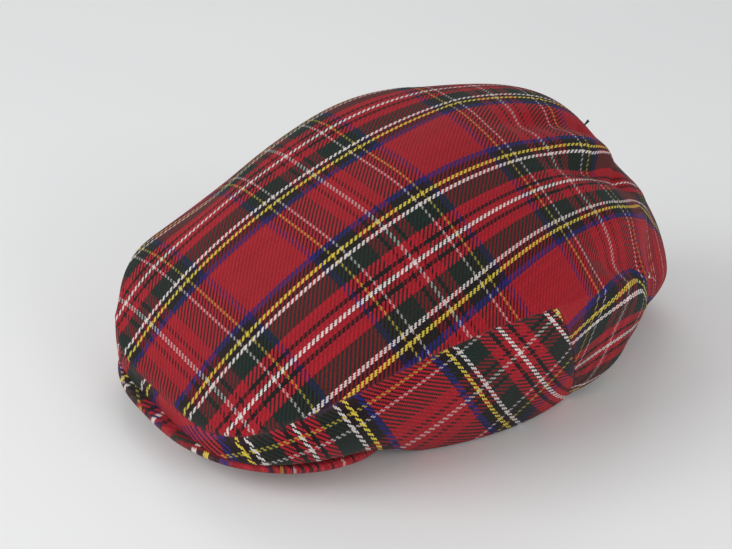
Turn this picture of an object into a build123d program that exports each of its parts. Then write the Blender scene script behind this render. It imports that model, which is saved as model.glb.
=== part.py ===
"""Soft tartan flat cap with a stiff front brim, built as separate sewn pieces.

Frame: millimetres, +Z up. The brim points along -Y and the wearer's left is +X. The plane z = 0
is the lower edge of the cap at its sides and back, which is what it rests on. x = 0 is the
plane of symmetry, through the middle of the brim. The pieces are shaped around an axis near the
middle of the head, and are moved as one at the end so that the origin is under the middle of
the cap's overall length.

Every layer of cloth is a closed sheet between two copies of one smooth cap surface. The
surface is addressed by an angle (0 at the front, 180 degrees at the back) and a level
(0 at the apex, 1 on the rim where crown and sides meet, 2 on the hem).
"""
from build123d import *
from math import asin, atan2, copysign, cos, hypot, pi, radians, sin, sqrt
import os

# Distance from the shaping axis back to the middle of the cap's overall length.
LENGTH_CENTRE_Y = 12.5

# Rim, the seam line between crown and sides: half width and reach, and its height.
RIM_HALF_WIDTH = 106.0
RIM_REACH_FRONT = 128.0
RIM_REACH_BACK = 159.0
RIM_BOXY_FRONT = 1.0
RIM_BOXY_BACK = -0.50
RIM_Z_FRONT = 24.0
RIM_Z_SIDE = 72.0
RIM_Z_BACK = 18.0

# Crown dome: apex position, and how full each profile from rim to apex is.
APEX_Y = 39.0
APEX_Z = 134.0
FULLNESS_FRONT = (1.66, 1.15)
FULLNESS_SIDE = (2.05, 0.95)
FULLNESS_BACK = (2.25, 1.70)

# Hem around the head opening.
HEM_HALF_WIDTH = 81.0
HEM_HALF_LENGTH = 100.0
HEM_CENTRE_Y = 6.0
TUCK_FRONT = 2.6
TUCK_BACK = 1.8
HEM_CLEARANCE = 0.6

# The layers are stacked along the normals of this ellipsoid inside the cap.
CORE_CENTRE_Y = 10.0
CORE_CENTRE_Z = 45.0
CORE_RADII = (105.0, 145.0, 75.0)

# The side panels end at a seam behind each ear, which leans back as it goes down.
REAR_SEAM_TOP = radians(98)
REAR_SEAM_BOTTOM = radians(117)
SEAM_GAP = 0.25

# Depth of each cloth layer under the outer surface.
CLOTH = (0.0, 1.0)
INTERLINING = (1.2, 2.0)
LINING = (2.2, 2.6)

# Sweatband and elastic, as insets from the hem ellipse.
ELASTIC_INSET = (3.1, 4.0)
SWEATBAND_INSET = (4.4, 5.3)
SWEATBAND_HEIGHT = 32.0
ELASTIC_BOTTOM = 4.0
ELASTIC_HEIGHT = 22.0
ELASTIC_HALF_ANGLE = radians(52)

# Brim: a crescent, half outline from the centre front round to the temple.
BRIM_OUTLINE = [(0, -134), (30, -132), (56, -122.5), (72, -106), (77, -87), (73.5, -67), (65, -51)]
BRIM_FAN_Y = -60.0
BRIM_TIP_Y = -50.0
BRIM_CREST_Y = -128.0
BRIM_STATIONS = (-138.0, -120.0, -105.0, -90.0, -75.0, -60.0, -46.0)
BRIM_TIP_Z = 2.2
BRIM_RISE = 12.0
BRIM_ROOT_INSET = 3.9
BRIM_HALF_THICKNESS = 1.9
BOARD_HALF_THICKNESS = 0.85
COVER_GAP = 0.1
BOARD_MARGIN = 3.0
ROOT_MARGIN_SHARE = 0.25

# Hem step from the top of the brim down to the resting plane, behind the brim's tips.
STEP_END_Y = -34.0
SWEATBAND_FRONT_STATIONS = (STEP_END_Y, -42.0, BRIM_TIP_Y, -65.0, -80.0, -95.0, -110.0)

# Half width and reach of the blocks that pieces are trimmed with, beyond the cap all round.
TRIM_HALF_WIDTH = 100.0
TRIM_REACH = 150.0
TRIM_HEIGHT = 60.0

# Care label, sewn along its top edge inside the back of the sweatband.
LABEL_WIDTH = 20.0
LABEL_HEIGHT = 24.0
LABEL_THICKNESS = 0.4
LABEL_TOP_Z = 30.0
LABEL_CLEARANCE = 0.3

# Thread tacks, one across each of the two darts that shape the back of the crown.
TACK_ANGLE = radians(137)
TACK_LEVEL = 0.99
TACK_LENGTH = 3.0
TACK_RADIUS = 0.35
TACK_CLEARANCE = 0.3

# Resolution of the sheets: columns across a sheet, rows down it.
CROWN_COLUMNS = 24
CROWN_ROWS = 16
TAIL_ROWS = 6
SIDE_COLUMNS = 18
SIDE_ROWS = 8


def smooth_step(value):
    value = min(max(value, 0.0), 1.0)
    return value * value * (3 - 2 * value)


def brim_height(y):
    """Height of the middle of the brim: it lifts from the temples and levels off in front."""
    share = (BRIM_TIP_Y - y) / (BRIM_TIP_Y - BRIM_CREST_Y)
    return BRIM_TIP_Z + BRIM_RISE * sin(share * pi / 2)


def hem_height(y):
    """Height of the hem: on top of the brim in front, on the resting plane behind it."""
    on_brim = brim_height(min(y, BRIM_TIP_Y)) + BRIM_HALF_THICKNESS + HEM_CLEARANCE
    drop = smooth_step((y - BRIM_TIP_Y) / (STEP_END_Y - BRIM_TIP_Y))
    return on_brim * (1 - drop)


def outer_point(angle, level):
    """A point of the cap's outer surface."""
    across = sin(angle)
    boxy = RIM_BOXY_FRONT if cos(angle) > 0 else RIM_BOXY_BACK
    along = cos(angle) * sqrt(1 + boxy * across * across)
    front = along ** 2 if along > 0 else 0.0
    back = along ** 2 if along < 0 else 0.0
    side = 1 - front - back
    reach = RIM_REACH_FRONT if along > 0 else RIM_REACH_BACK
    rim_x = RIM_HALF_WIDTH * across
    rim_y = -reach * along
    rim_z = RIM_Z_FRONT * front + RIM_Z_SIDE * side + RIM_Z_BACK * back
    if level <= 1:
        power = FULLNESS_FRONT[0] * front + FULLNESS_SIDE[0] * side + FULLNESS_BACK[0] * back
        root = FULLNESS_FRONT[1] * front + FULLNESS_SIDE[1] * side + FULLNESS_BACK[1] * back
        spread = sin(level * pi / 2)
        x = rim_x * spread
        y = APEX_Y + (rim_y - APEX_Y) * spread
        z = rim_z + (APEX_Z - rim_z) * max(1 - spread ** power, 0) ** (1 / root)
        return Vector(x, y, z)
    hem_x = HEM_HALF_WIDTH * across
    hem_y = HEM_CENTRE_Y - HEM_HALF_LENGTH * cos(angle)
    drop = level - 1
    tuck = drop ** (TUCK_BACK + (TUCK_FRONT - TUCK_BACK) * front)
    x = rim_x + (hem_x - rim_x) * tuck
    y = rim_y + (hem_y - rim_y) * tuck
    z = rim_z + (hem_height(hem_y) - rim_z) * drop
    return Vector(x, y, z)


def outward(point):
    """Direction in which the layers are stacked: away from the middle of the cap."""
    offset = point - Vector(0, CORE_CENTRE_Y, CORE_CENTRE_Z)
    radius_x, radius_y, radius_z = CORE_RADII
    return Vector(offset.X / radius_x**2, offset.Y / radius_y**2, offset.Z / radius_z**2).normalized()


def layer_point(angle, level, depth):
    """A point at the given depth under the outer surface."""
    point = outer_point(angle, level)
    return point - outward(point) * depth


def edge_between(face, start, end):
    """The edge of a face that runs between two corner points."""
    def misfit(edge):
        first, last = edge.position_at(0), edge.position_at(1)
        same_way = (first - start).length + (last - end).length
        other_way = (first - end).length + (last - start).length
        return min(same_way, other_way)
    return min(face.edges(), key=misfit)


def sheet(rows_at, depths, breaks):
    """A closed sheet of cloth between two depths.

    rows_at(depth) gives rows of points. The sheet is smooth between the row numbers in breaks.
    """
    outer_rows, inner_rows = rows_at(depths[0]), rows_at(depths[1])
    outer_wires = [Wire([Edge.make_spline(row)]) for row in outer_rows]
    inner_wires = [Wire([Edge.make_spline(row)]) for row in inner_rows]
    faces = []
    for first, last in zip(breaks[:-1], breaks[1:]):
        outer_face = Shell.make_loft(outer_wires[first:last + 1]).faces()[0]
        inner_face = Shell.make_loft(inner_wires[first:last + 1]).faces()[0]
        faces += [outer_face, inner_face]
        for end in (0, -1):
            outer_edge = edge_between(outer_face, outer_rows[first][end], outer_rows[last][end])
            inner_edge = edge_between(inner_face, inner_rows[first][end], inner_rows[last][end])
            faces.append(Face.make_surface_from_curves(outer_edge, inner_edge))
    for end in (0, -1):
        outer_edge = outer_wires[end].edges()[0]
        inner_edge = inner_wires[end].edges()[0]
        faces.append(Face.make_surface_from_curves(outer_edge, inner_edge))
    solid = Solid(Shell(faces))
    return solid if solid.volume > 0 else Solid(Shell([-face for face in faces]))


def rear_seam_angle(level):
    return REAR_SEAM_TOP + (REAR_SEAM_BOTTOM - REAR_SEAM_TOP) * (level - 1)


def square_to_disc(across, along):
    """Angle and level on the crown of a point of the square from -1 to 1."""
    x = across * sqrt(1 - along * along / 2)
    y = along * sqrt(1 - across * across / 2)
    level = 2 / pi * asin(min(hypot(x, y), 1.0))
    turn = atan2(abs(x), -y)
    corner_shift = CORNER_SHIFT * (1 - cos(turn)) ** 2 * (1 + cos(turn))
    return copysign(turn - corner_shift, x), level


# The rear corners of the square have to land on the tops of the rear seams.
SQUARE_CORNER = radians(135)
CORNER_WEIGHT = (1 - cos(SQUARE_CORNER)) ** 2 * (1 + cos(SQUARE_CORNER))
CORNER_SHIFT = (SQUARE_CORNER - REAR_SEAM_TOP) / CORNER_WEIGHT


def crown_rows(depth):
    """Rows over the crown from its front edge, then down the tail to the back hem."""
    columns = [-1 + 2 * i / CROWN_COLUMNS for i in range(CROWN_COLUMNS + 1)]
    rows = []
    for j in range(CROWN_ROWS + 1):
        along = -cos(pi * j / CROWN_ROWS)
        places = [square_to_disc(across, along) for across in columns]
        rows.append([layer_point(angle, level, depth) for angle, level in places])
    for j in range(1, TAIL_ROWS + 1):
        level = 1 + j / TAIL_ROWS
        narrowing = (pi - rear_seam_angle(level)) / (pi - REAR_SEAM_TOP)
        row = []
        for across in columns:
            from_back = pi - abs(square_to_disc(across, 1.0)[0])
            angle = copysign(pi - from_back * narrowing, across)
            row.append(layer_point(angle, level, depth))
        rows.append(row)
    return rows


def side_rows(depth):
    """Rows of the left side panel, from the rim seam down to the hem."""
    first = SEAM_GAP / 2 / RIM_REACH_FRONT
    rows = []
    for j in range(SIDE_ROWS + 1):
        share = j / SIDE_ROWS
        last = rear_seam_angle(1 + share) - SEAM_GAP / HEM_HALF_WIDTH
        row = []
        for i in range(SIDE_COLUMNS + 1):
            angle = first + (last - first) * i / SIDE_COLUMNS
            hem_y = HEM_CENTRE_Y - HEM_HALF_LENGTH * cos(angle)
            fall = outer_point(angle, 1).Z - hem_height(hem_y)
            top = 1 + SEAM_GAP / fall
            row.append(layer_point(angle, top + (2 - top) * share, depth))
        rows.append(row)
    return rows


def crown_sheet(depths):
    return sheet(crown_rows, depths, (0, CROWN_ROWS, CROWN_ROWS + TAIL_ROWS))


def side_sheet(depths):
    return sheet(side_rows, depths, (0, SIDE_ROWS))


def other_side(solid):
    """The same piece for the wearer's right."""
    return mirror(solid, about=Plane.YZ)


def hem_ellipse(inset):
    return Pos(0, HEM_CENTRE_Y) * Ellipse(HEM_HALF_WIDTH - inset, HEM_HALF_LENGTH - inset)


def ring(insets, height):
    """An upright elliptical ring standing on z = 0."""
    return extrude(hem_ellipse(insets[0]) - hem_ellipse(insets[1]), amount=height)


def profile_slab(lower, upper, half_width):
    """A slab along X whose section is bounded by two curves of y and z."""
    lower_edge = Edge.make_spline([(0, y, z) for y, z in lower])
    upper_edge = Edge.make_spline([(0, y, z) for y, z in upper])
    start = Edge.make_line(lower_edge.position_at(0), upper_edge.position_at(0))
    end = Edge.make_line(lower_edge.position_at(1), upper_edge.position_at(1))
    section = Face(Wire([lower_edge, end, upper_edge, start]))
    return extrude(section, amount=half_width, dir=(1, 0, 0), both=True)


def sweatband():
    """Ring around the head, following the hem up over the brim in front."""
    lower = [(y, hem_height(y)) for y in SWEATBAND_FRONT_STATIONS]
    upper = [(y, z + SWEATBAND_HEIGHT) for y, z in lower]
    front = profile_slab(lower, upper, TRIM_HALF_WIDTH)
    from_below = (Align.CENTER, Align.MIN, Align.MIN)
    level = Box(2 * TRIM_HALF_WIDTH, TRIM_REACH, SWEATBAND_HEIGHT, align=from_below)
    return ring(SWEATBAND_INSET, TRIM_HEIGHT) & (Pos(0, STEP_END_Y) * level + front)


def back_elastic():
    """Flat elastic that gathers the back, between lining and sweatband."""
    band = Pos(0, 0, ELASTIC_BOTTOM) * ring(ELASTIC_INSET, ELASTIC_HEIGHT)
    side_x = TRIM_REACH * sin(ELASTIC_HALF_ANGLE)
    side_y = TRIM_REACH * cos(ELASTIC_HALF_ANGLE)
    wedge = Polygon((0, 0), (side_x, side_y), (0, 2 * TRIM_REACH), (-side_x, side_y), align=None)
    return band & extrude(Pos(0, HEM_CENTRE_Y) * wedge, amount=TRIM_HEIGHT)


def brim_plan(margin):
    """Plan view of the brim as a face, shrunk by the margin along its outer edge."""
    half = []
    for x, y in BRIM_OUTLINE:
        keep = 1 - margin / hypot(x, y - BRIM_FAN_Y)
        half.append((x * keep, BRIM_FAN_Y + (y - BRIM_FAN_Y) * keep))
    left_half = [(-x, y) for x, y in reversed(half[1:])]
    outer = Edge.make_spline([(x, y, 0) for x, y in left_half + half])
    tip = outer.position_at(1)
    outline = Face(Wire([outer, Edge.make_line(tip, outer.position_at(0))]))
    return outline - hem_ellipse(BRIM_ROOT_INSET + ROOT_MARGIN_SHARE * margin)


def brim_layer(lower, upper, margin):
    """The part of the brim between two heights from its middle surface."""
    low = [(y, brim_height(y) + lower) for y in BRIM_STATIONS]
    high = [(y, brim_height(y) + upper) for y in BRIM_STATIONS]
    return extrude(brim_plan(margin), amount=TRIM_HEIGHT) & profile_slab(low, high, TRIM_HALF_WIDTH)


def brim_board():
    return brim_layer(-BOARD_HALF_THICKNESS, BOARD_HALF_THICKNESS, BOARD_MARGIN)


def brim_cover(side):
    """One cloth cover of the brim, turned in around the edge of the board."""
    inner, outer = side * COVER_GAP / 2, side * BRIM_HALF_THICKNESS
    pocket = BOARD_HALF_THICKNESS + COVER_GAP
    cover = brim_layer(min(inner, outer), max(inner, outer), 0)
    return cover - brim_layer(-pocket, pocket, BOARD_MARGIN - 2 * COVER_GAP)


def care_label():
    """Blank cloth label hanging from its sewn top edge."""
    half_width = HEM_HALF_WIDTH - SWEATBAND_INSET[1]
    half_length = HEM_HALF_LENGTH - SWEATBAND_INSET[1]
    corner_y = HEM_CENTRE_Y + half_length * sqrt(1 - (LABEL_WIDTH / 2 / half_width) ** 2)
    centre_y = corner_y - LABEL_CLEARANCE - LABEL_THICKNESS / 2
    label = Box(LABEL_WIDTH, LABEL_THICKNESS, LABEL_HEIGHT)
    return Pos(0, centre_y, LABEL_TOP_Z - LABEL_HEIGHT / 2) * label


def dart_tacks():
    """Short bars of thread lying across the two darts, level with the rim."""
    point = outer_point(TACK_ANGLE, TACK_LEVEL)
    place = point + outward(point) * (TACK_RADIUS + TACK_CLEARANCE)
    around = Vector(0, 0, 1).cross(outward(point))
    left = Plane(origin=place, z_dir=around) * Cylinder(TACK_RADIUS, TACK_LENGTH)
    return Compound([left, other_side(left)])


side_panel = side_sheet(CLOTH)
side_interlining = side_sheet(INTERLINING)
side_lining = side_sheet(LINING)

pieces = {
    "crown_top_panel": crown_sheet(CLOTH),
    "side_panel_left": side_panel,
    "side_panel_right": other_side(side_panel),
    "crown_interlining": crown_sheet(INTERLINING),
    "side_interlining_left": side_interlining,
    "side_interlining_right": other_side(side_interlining),
    "lining_crown": crown_sheet(LINING),
    "lining_side_left": side_lining,
    "lining_side_right": other_side(side_lining),
    "sweatband": sweatband(),
    "back_elastic": back_elastic(),
    "brim_top_cover": brim_cover(1),
    "brim_board": brim_board(),
    "brim_under_cover": brim_cover(-1),
    "care_label": care_label(),
    "dart_tacks": dart_tacks(),
}

os.makedirs("parts", exist_ok=True)
for name, piece in pieces.items():
    export_step(Pos(0, -LENGTH_CENTRE_Y) * piece, f"parts/{name}.step")
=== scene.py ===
"""Looks of the soft checked flat cap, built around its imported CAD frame.

Frame: metres, +Z up, brim towards -Y, wearer's left towards +X. Shapes are worked out in
millimetres around the cap's shaping axis, as in the CAD, and moved into the frame when a mesh is
made. The cap's surface is addressed by an angle (0 at the front, pi at the back) and a level
(0 at the apex, 1 on the rim where crown and sides meet, 2 on the hem).
"""
from math import cos, pi, radians, sin, tau

import bmesh
import bpy
import numpy as np
from mathutils import Matrix, Vector


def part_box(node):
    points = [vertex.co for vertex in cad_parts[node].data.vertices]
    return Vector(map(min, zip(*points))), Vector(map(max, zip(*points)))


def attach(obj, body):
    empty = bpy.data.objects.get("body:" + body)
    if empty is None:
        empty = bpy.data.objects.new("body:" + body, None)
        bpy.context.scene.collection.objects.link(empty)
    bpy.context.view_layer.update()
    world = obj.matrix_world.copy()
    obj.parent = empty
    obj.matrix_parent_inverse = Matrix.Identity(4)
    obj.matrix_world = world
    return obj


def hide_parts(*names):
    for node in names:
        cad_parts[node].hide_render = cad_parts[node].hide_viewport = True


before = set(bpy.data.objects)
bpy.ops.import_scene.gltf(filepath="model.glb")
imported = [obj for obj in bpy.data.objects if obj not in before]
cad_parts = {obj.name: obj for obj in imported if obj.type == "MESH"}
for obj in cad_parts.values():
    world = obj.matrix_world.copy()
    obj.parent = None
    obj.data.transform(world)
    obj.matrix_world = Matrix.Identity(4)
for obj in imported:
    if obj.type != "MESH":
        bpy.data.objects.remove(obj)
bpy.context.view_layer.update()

MM = 0.001

# ---- Cap surface, the same as the CAD's ----

# Distance from the shaping axis back to the middle of the cap's overall length.
LENGTH_CENTRE_Y = 12.5

# Rim, the seam line between crown and sides: half width and reach, and its height.
RIM_HALF_WIDTH = 106.0
RIM_REACH_FRONT = 128.0
RIM_REACH_BACK = 159.0
RIM_BOXY_FRONT = 1.0
RIM_BOXY_BACK = -0.50
RIM_Z_FRONT = 24.0
RIM_Z_SIDE = 72.0
RIM_Z_BACK = 18.0

# Crown dome: apex position, and how full each profile from rim to apex is.
APEX_Y = 39.0
APEX_Z = 134.0
FULLNESS_FRONT = (1.66, 1.15)
FULLNESS_SIDE = (2.05, 0.95)
FULLNESS_BACK = (2.25, 1.70)

# Hem around the head opening, and how sharply the sides tuck in to it.
HEM_HALF_WIDTH = 81.0
HEM_HALF_LENGTH = 100.0
HEM_CENTRE_Y = 6.0
TUCK_FRONT = 2.6
TUCK_BACK = 1.8
HEM_CLEARANCE = 0.6

# In front the worn side panels stay out for longer before they tuck in, and sag by this much.
FRONT_HANG = 4.0
FRONT_SAG = 3.5

# Layers are stacked along the normals of this ellipsoid inside the cap.
CORE_CENTRE = np.array([0.0, 10.0, 45.0])
CORE_RADII = np.array([105.0, 145.0, 75.0])

# The side panels end at a seam behind each ear, which leans back as it goes down.
REAR_SEAM_TOP = radians(98)
REAR_SEAM_BOTTOM = radians(117)

# Brim: a crescent, half outline from the centre front round to the temple.
BRIM_OUTLINE = [(0, -134), (30, -132), (56, -122.5), (72, -106), (77, -87), (73.5, -67), (65, -51)]
BRIM_FAN_Y = -60.0
BRIM_TIP_Y = -50.0
BRIM_CREST_Y = -128.0
BRIM_TIP_Z = 2.2
BRIM_RISE = 12.0
BRIM_ROOT_INSET = 3.9
BRIM_HALF_THICKNESS = 1.9
STEP_END_Y = -34.0

# Sweatband, as insets from the hem ellipse.
SWEATBAND_INSET = (4.4, 5.3)
SWEATBAND_HEIGHT = 32.0


def smooth_step(value):
    value = np.clip(value, 0, 1)
    return value * value * (3 - 2 * value)


def brim_height(y):
    """Height of the middle of the brim."""
    share = (BRIM_TIP_Y - y) / (BRIM_TIP_Y - BRIM_CREST_Y)
    return BRIM_TIP_Z + BRIM_RISE * np.sin(share * pi / 2)


def hem_height(y):
    """Height of the hem: on top of the brim in front, on the resting plane behind it."""
    on_brim = brim_height(np.minimum(y, BRIM_TIP_Y)) + BRIM_HALF_THICKNESS + HEM_CLEARANCE
    drop = smooth_step((y - BRIM_TIP_Y) / (STEP_END_Y - BRIM_TIP_Y))
    return on_brim * (1 - drop)


def cap_surface(angle, level, hang=0.0):
    """Points of the cap's outer surface, for arrays of angle and level."""
    across = np.sin(angle)
    boxy = np.where(np.cos(angle) > 0, RIM_BOXY_FRONT, RIM_BOXY_BACK)
    along = np.cos(angle) * np.sqrt(1 + boxy * across ** 2)
    front = np.where(along > 0, along ** 2, 0)
    back = np.where(along < 0, along ** 2, 0)
    side = 1 - front - back
    rim_x = RIM_HALF_WIDTH * across
    rim_y = -np.where(along > 0, RIM_REACH_FRONT, RIM_REACH_BACK) * along
    rim_z = RIM_Z_FRONT * front + RIM_Z_SIDE * side + RIM_Z_BACK * back

    power = FULLNESS_FRONT[0] * front + FULLNESS_SIDE[0] * side + FULLNESS_BACK[0] * back
    root = FULLNESS_FRONT[1] * front + FULLNESS_SIDE[1] * side + FULLNESS_BACK[1] * back
    spread = np.sin(np.minimum(level, 1) * pi / 2)
    rise = np.maximum(1 - spread ** power, 0) ** (1 / root)
    crown_y = APEX_Y + (rim_y - APEX_Y) * spread
    crown = np.stack([rim_x * spread, crown_y, rim_z + (APEX_Z - rim_z) * rise], axis=-1)

    drop = np.maximum(level - 1, 0)
    tuck = drop ** (TUCK_BACK + (TUCK_FRONT - TUCK_BACK) * front + hang * front ** 3)
    hem_x = HEM_HALF_WIDTH * across
    hem_y = HEM_CENTRE_Y - HEM_HALF_LENGTH * np.cos(angle)
    wall_x = rim_x + (hem_x - rim_x) * tuck
    wall_y = rim_y + (hem_y - rim_y) * tuck
    wall = np.stack([wall_x, wall_y, rim_z + (hem_height(hem_y) - rim_z) * drop], axis=-1)
    return np.where((level <= 1)[..., None], crown, wall)


def square_to_disc(across, along):
    """Angle and level on the crown of points of the square from -1 to 1."""
    corner = radians(135)
    corner_weight = (1 - cos(corner)) ** 2 * (1 + cos(corner))
    corner_shift = (corner - REAR_SEAM_TOP) / corner_weight
    x = across * np.sqrt(1 - along ** 2 / 2)
    y = along * np.sqrt(1 - across ** 2 / 2)
    level = 2 / pi * np.arcsin(np.minimum(np.hypot(x, y), 1))
    turn = np.arctan2(np.abs(x), -y)
    turn = turn - corner_shift * (1 - np.cos(turn)) ** 2 * (1 + np.cos(turn))
    return np.copysign(turn, x), level


def rear_seam_angle(level):
    """Angle of the seam behind the side panels, at a level below the rim."""
    return REAR_SEAM_TOP + (REAR_SEAM_BOTTOM - REAR_SEAM_TOP) * (level - 1)


def smooth_curve(points, count):
    """Points spaced evenly in parameter along a Catmull-Rom curve through the given points."""
    points = np.array(points, float)
    before, after = 2 * points[0] - points[1], 2 * points[-1] - points[-2]
    padded = np.concatenate([[before], points, [after]])
    place = np.linspace(0, len(points) - 1, count)
    first = np.minimum(place.astype(int), len(points) - 2)
    t = (place - first)[:, None]
    p0, p1, p2, p3 = (padded[first + k] for k in range(4))
    return 0.5 * (2 * p1 + (p2 - p0) * t + (2 * p0 - 5 * p1 + 4 * p2 - p3) * t ** 2
                  + (3 * p1 - p0 - 3 * p2 + p3) * t ** 3)


# ---- Grids of points ----

# Where the grid lines next to a turned-in edge lie, in mm from the edge.
EDGE_LINES = np.array([0, 0.2, 0.5, 0.9, 1.4, 2.0, 2.8, 3.8])


def with_edges(count, length, start=True, end=True):
    """Shares from 0 to 1 along a strip of cloth, closer together near its turned-in edges."""
    first = EDGE_LINES / length if start else np.array([0.0])
    last = 1 - EDGE_LINES[::-1] / length if end else np.array([1.0])
    middle = np.linspace(first[-1], last[0], count)
    return np.concatenate([first[:-1], middle, last[1:]])


def grid_normals(points):
    """Unit normals of a grid of points, facing away from the middle of the cap."""
    down = np.gradient(points, axis=0)
    along = np.gradient(points, axis=1)
    normal = np.cross(down, along)
    normal /= np.maximum(np.linalg.norm(normal, axis=-1, keepdims=True), 1e-9)
    outward = (points - CORE_CENTRE) / CORE_RADII ** 2
    facing = np.sign((normal * outward).sum(-1, keepdims=True))
    return normal * np.where(facing == 0, 1, facing)


def lengths(points, axis):
    """Distance walked along each grid line from its start."""
    steps = np.linalg.norm(np.diff(points, axis=axis), axis=-1)
    start = np.zeros_like(np.take(steps, [0], axis=axis))
    return np.cumsum(np.concatenate([start, steps], axis=axis), axis=axis)


def edge_distance(points):
    """Distance of every grid point from the nearest of the four edges of the grid."""
    down, along = lengths(points, 0), lengths(points, 1)
    to_ends = np.minimum(down, down[-1:] - down)
    to_sides = np.minimum(along, along[:, -1:] - along)
    return np.minimum(to_ends, to_sides)


def turned_edge(distance, radius):
    """How far the surface sinks near an edge whose cloth is turned in."""
    inside = np.clip(1 - distance / radius, 0, 1)
    return radius * (1 - np.sqrt(1 - inside ** 2))


def path_nearness(points, path, width, samples=70):
    """How close points are to a curve, from 1 on it to 0 away from it, and the share along it."""
    curve = smooth_curve(path, samples)
    flat = points.reshape(-1, 3)
    reach = 3 * width
    close = ((flat > curve.min(0) - reach) & (flat < curve.max(0) + reach)).all(-1)
    apart = ((flat[close][:, None] - curve[None]) ** 2).sum(-1)
    near, share = np.zeros(len(flat)), np.zeros(len(flat))
    near[close] = np.exp(-apart.min(1) / width ** 2)
    share[close] = apart.argmin(1) / (samples - 1)
    return near.reshape(points.shape[:-1]), share.reshape(points.shape[:-1])


# How many rows the smoothing over the back of the rim reaches, and how often it is repeated.
SOFT_ROWS = 14.0
SOFT_REPEATS = 60


def soften_back(values, rim_row):
    """Smooths points, or numbers on them, over the back of the rim, where the surface has an edge."""
    rows = np.arange(len(values))
    weight = 0.9 * np.exp(-((rows - rim_row) / SOFT_ROWS) ** 2)
    weight = weight[1:-1].reshape(-1, *[1] * (values.ndim - 1))
    values = values.copy()
    for repeat in range(SOFT_REPEATS):
        between = (values[:-2] + values[2:]) / 2
        values[1:-1] += (between - values[1:-1]) * weight
    return values


# ---- Folds and puckers of the worn cloth ----

# The dart behind the crown, from its point down to the hem, on the wearer's left.
DART = [(24, 97, 114), (38, 106, 93), (49, 113, 72), (62, 110, 55),
        (69, 104, 40), (69, 96, 24), (63, 84, 6)]
DART_GROOVE = 1.3
DART_RIDGE = 0.6

# Waves that the elastic gathers the cloth into along the back hem.
GATHER_HEIGHT = 0.9
GATHER_WAVES = 62

# Puckers run out from the dart: path from the far end to the dart, width and depth.
PUCKERS = [
    ([(27, 22, 131), (30, 45, 128), (29, 64, 125), (24, 95, 115)], 6.5, -4.2),
    ([(52, 42, 116), (53, 60, 111), (50, 78, 105), (42, 107, 91)], 6.0, -6.2),
    ([(86, 42, 85), (89, 55, 77), (86, 66, 71), (80, 84, 61)], 7.0, -3.4),
    ([(44, 48, 121), (42, 66, 116), (36, 84, 110), (33, 101, 102)], 9.0, 3.0),
    ([(72, 42, 99), (74, 62, 92), (68, 82, 85), (54, 108, 72)], 10.0, 3.4),
    ([(96, 38, 64), (95, 55, 58), (88, 75, 50), (76, 92, 38)], 9.0, 1.6),
]

# Where the crown sags or swells broadly: centre, radius and height.
HOLLOWS = [
    ((-84, -98, 46), 26.0, 5.5),
    ((-72, -58, 80), 20.0, -2.0),
    ((-44, 0, 120), 36.0, 3.5),
    ((16, 120, 90), 32.0, -6.0),
    ((-16, 120, 90), 32.0, -3.0),
    ((56, 120, 62), 26.0, -4.0),
    ((64, 116, 45), 17.0, -4.5),
    ((38, 124, 77), 13.0, 3.5),
    ((79, 74, 15), 22.0, 6.0),
    ((88, -20, 88), 26.0, -1.2),
    ((60, 20, 112), 22.0, -1.0),
]


def mirrored(path):
    return [(-x, y, z) for x, y, z in path]


def fold_height(points, angle, level):
    """How far the worn cloth stands off the smooth surface."""
    height = np.zeros(points.shape[:-1])
    for path, width, depth in PUCKERS:
        for side_path in (path, mirrored(path)):
            near, share = path_nearness(points, side_path, width)
            height += depth * near * smooth_step(share * 1.6)
    for side_path in (DART, mirrored(DART)):
        near, share = path_nearness(points, side_path, 2.2, 160)
        height -= DART_GROOVE * near * smooth_step(share * 8)
        near, share = path_nearness(points, side_path, 6.0)
        height += DART_RIDGE * near * smooth_step(share * 4)
    for centre, radius, depth in HOLLOWS:
        apart = ((points - np.array(centre)) ** 2).sum(-1)
        height += depth * np.exp(-apart / radius ** 2)
    at_back = smooth_step((np.abs(angle) - radians(125)) / radians(15))
    near_hem = smooth_step((level - 1.1) / 0.9)
    waves = np.sin(np.abs(angle) * GATHER_WAVES + 1.5 * np.sin(np.abs(angle) * 23))
    height += GATHER_HEIGHT * waves * at_back * near_hem
    return height


# ---- How the checked cloth lies: places in repeats of the check, white lines at whole numbers ----

REPEAT_ACROSS = 114.0


def dome_height(x, y):
    """Height of the crown above a point of the plan."""
    angles = np.linspace(0, pi, 1200)
    rim = cap_surface(angles, np.ones_like(angles))
    rim_turn = np.arctan2(rim[:, 0], -(rim[:, 1] - APEX_Y))
    rim_reach = np.hypot(rim[:, 0], rim[:, 1] - APEX_Y)
    turn = np.arctan2(np.abs(x), -(y - APEX_Y))
    angle = np.interp(turn, rim_turn, angles)
    spread = np.clip(np.hypot(x, y - APEX_Y) / np.interp(turn, rim_turn, rim_reach), 0, 1)
    return cap_surface(angle, 2 / pi * np.arcsin(spread))[..., 2]


def length_over_crown(x, y, steps=20):
    """Length over the crown from its middle plane to a point, at a constant y."""
    total = np.zeros_like(x)
    last_x, last_z = np.zeros_like(x), dome_height(np.zeros_like(x), y)
    for step in range(1, steps + 1):
        next_x = x * step / steps
        next_z = dome_height(next_x, y)
        total += np.hypot(next_x - last_x, next_z - last_z)
        last_x, last_z = next_x, next_z
    return total * np.sign(x)


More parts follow.
